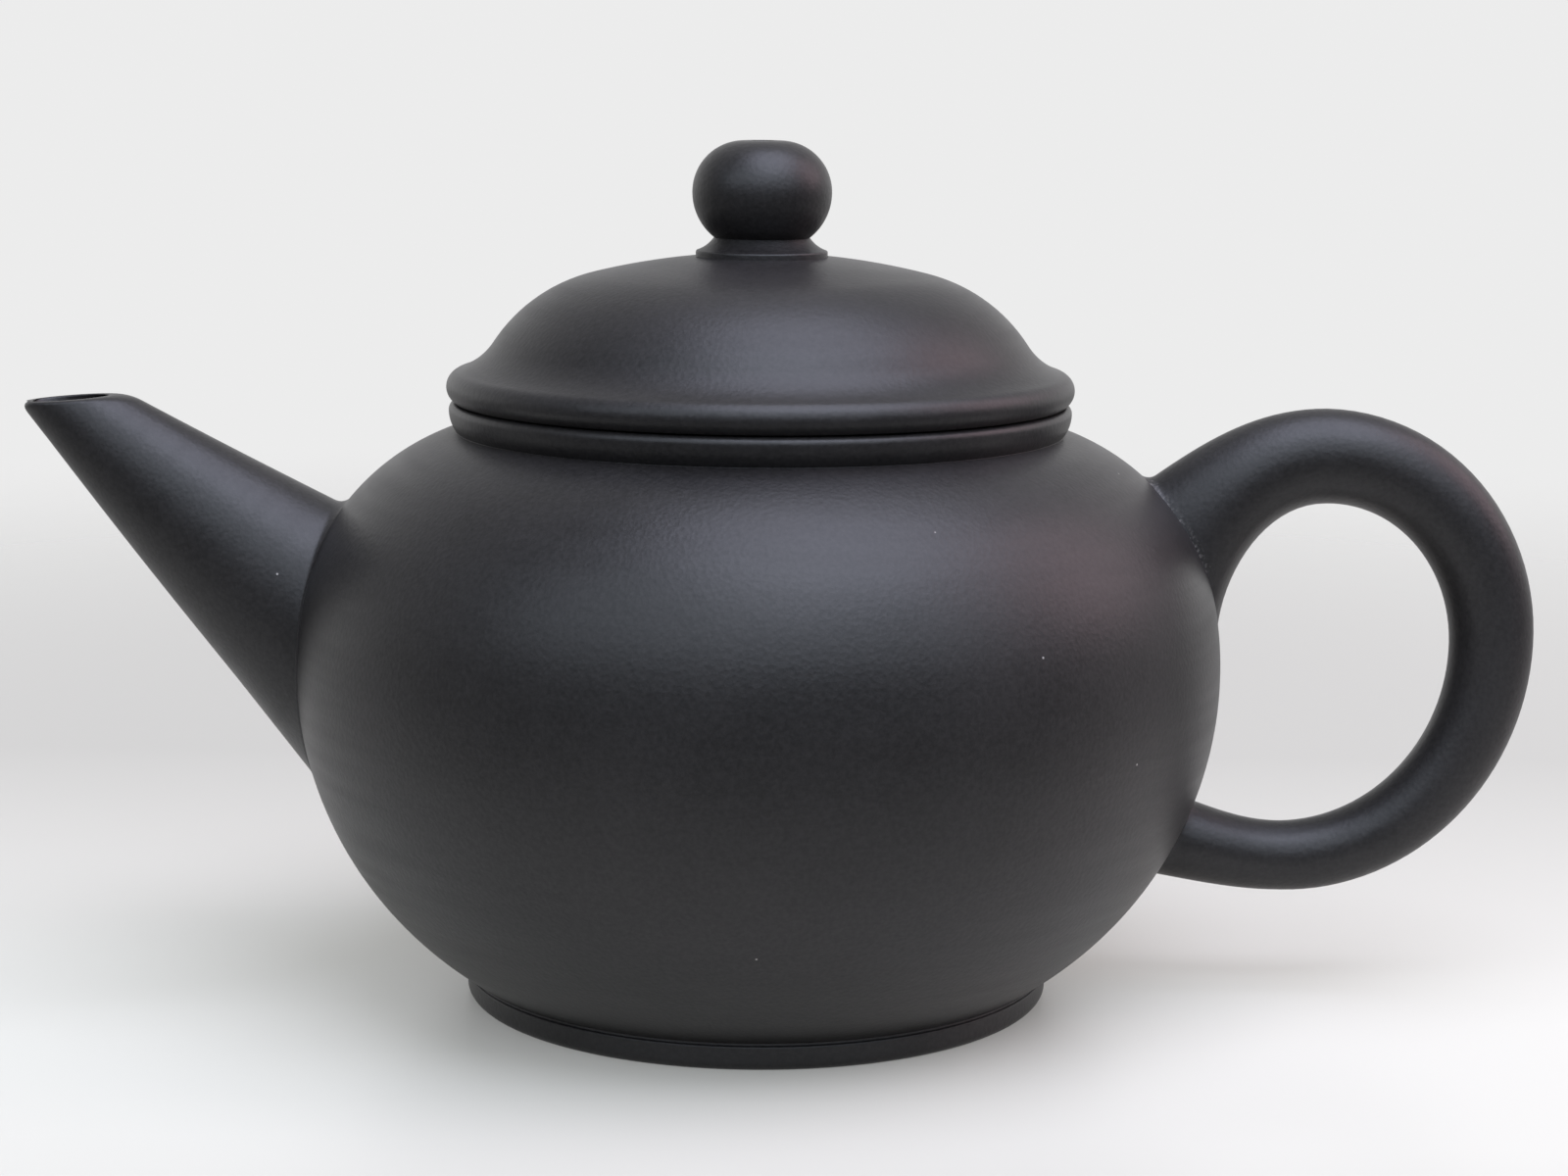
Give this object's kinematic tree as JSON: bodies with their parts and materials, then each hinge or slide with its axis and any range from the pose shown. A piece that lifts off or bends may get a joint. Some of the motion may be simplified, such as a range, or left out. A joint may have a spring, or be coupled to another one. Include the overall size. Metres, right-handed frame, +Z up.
{
  "type": "clay teapot",
  "caption": "Small round unglazed clay teapot with straight tapering spout, ear handle and lift-off lid with ball knob, for brewing tea.",
  "frame": {"origin": "centre of the foot ring's standing plane, on the turning axis", "axes": "+Z up along the turning axis, -X towards the spout, +X towards the handle, Y across"},
  "size_m": [0.1246, 0.076, 0.0705],
  "materials": {
    "pot_clay": "satin unglazed, burnished dark charcoal stoneware",
    "lid_clay": "satin unglazed, burnished dark charcoal stoneware"
  },
  "bodies": {
    "pot": {"belly_wall": "pot_clay", "base_disc": "pot_clay", "foot_ring": "pot_clay", "top_disc": "pot_clay", "neck_ring": "pot_clay", "spout": "pot_clay", "spout_strainer": "pot_clay", "handle": "pot_clay"},
    "lid": {"lid_dome": "lid_clay", "lid_rim": "lid_clay", "lid_flange": "lid_clay", "knob_collar": "lid_clay", "knob": "lid_clay"}
  },
  "joints": [
    {"name": "lid_lift", "type": "slide", "parent": "pot", "child": "lid", "axis": [0, 0, 1], "range_m": [0, 0.06]}
  ]
}
